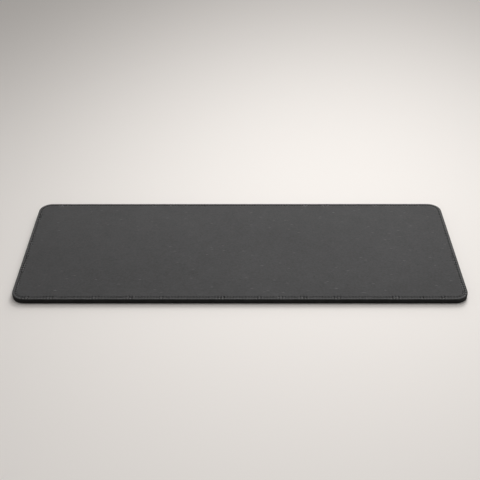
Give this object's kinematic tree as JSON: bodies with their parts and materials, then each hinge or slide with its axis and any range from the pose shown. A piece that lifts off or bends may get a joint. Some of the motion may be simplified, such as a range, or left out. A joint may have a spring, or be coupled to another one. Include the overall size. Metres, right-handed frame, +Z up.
{
  "type": "mouse pad",
  "caption": "Wide, thin desk mat for a mouse and keyboard: matt cloth skin on a foam cushion and rubber base, with a stitched edge.",
  "frame": {"origin": "middle of the flat underside, on the desk", "axes": "+X along the long side, +Z up from the desk, -Y towards the user"},
  "size_m": [0.6, 0.225, 0.007],
  "materials": {
    "cover_cloth": "matt charcoal cloth, finely mottled",
    "bond_film": "clear to cream hot-melt film",
    "cushion_foam": "fine-celled black foam rubber",
    "base_rubber": "matt black rubber with a fine moulded grip pattern",
    "band_rubber": "smooth matt black rubber",
    "seam_thread": "twisted charcoal polyester thread"
  },
  "bodies": {
    "root": {"top_cover": "cover_cloth", "cover_bond_film": "bond_film", "cushion_core": "cushion_foam", "base_bond_film": "bond_film", "grip_base": "base_rubber", "edge_band": "band_rubber", "needle_thread": "seam_thread", "bobbin_thread": "seam_thread"}
  },
  "joints": []
}
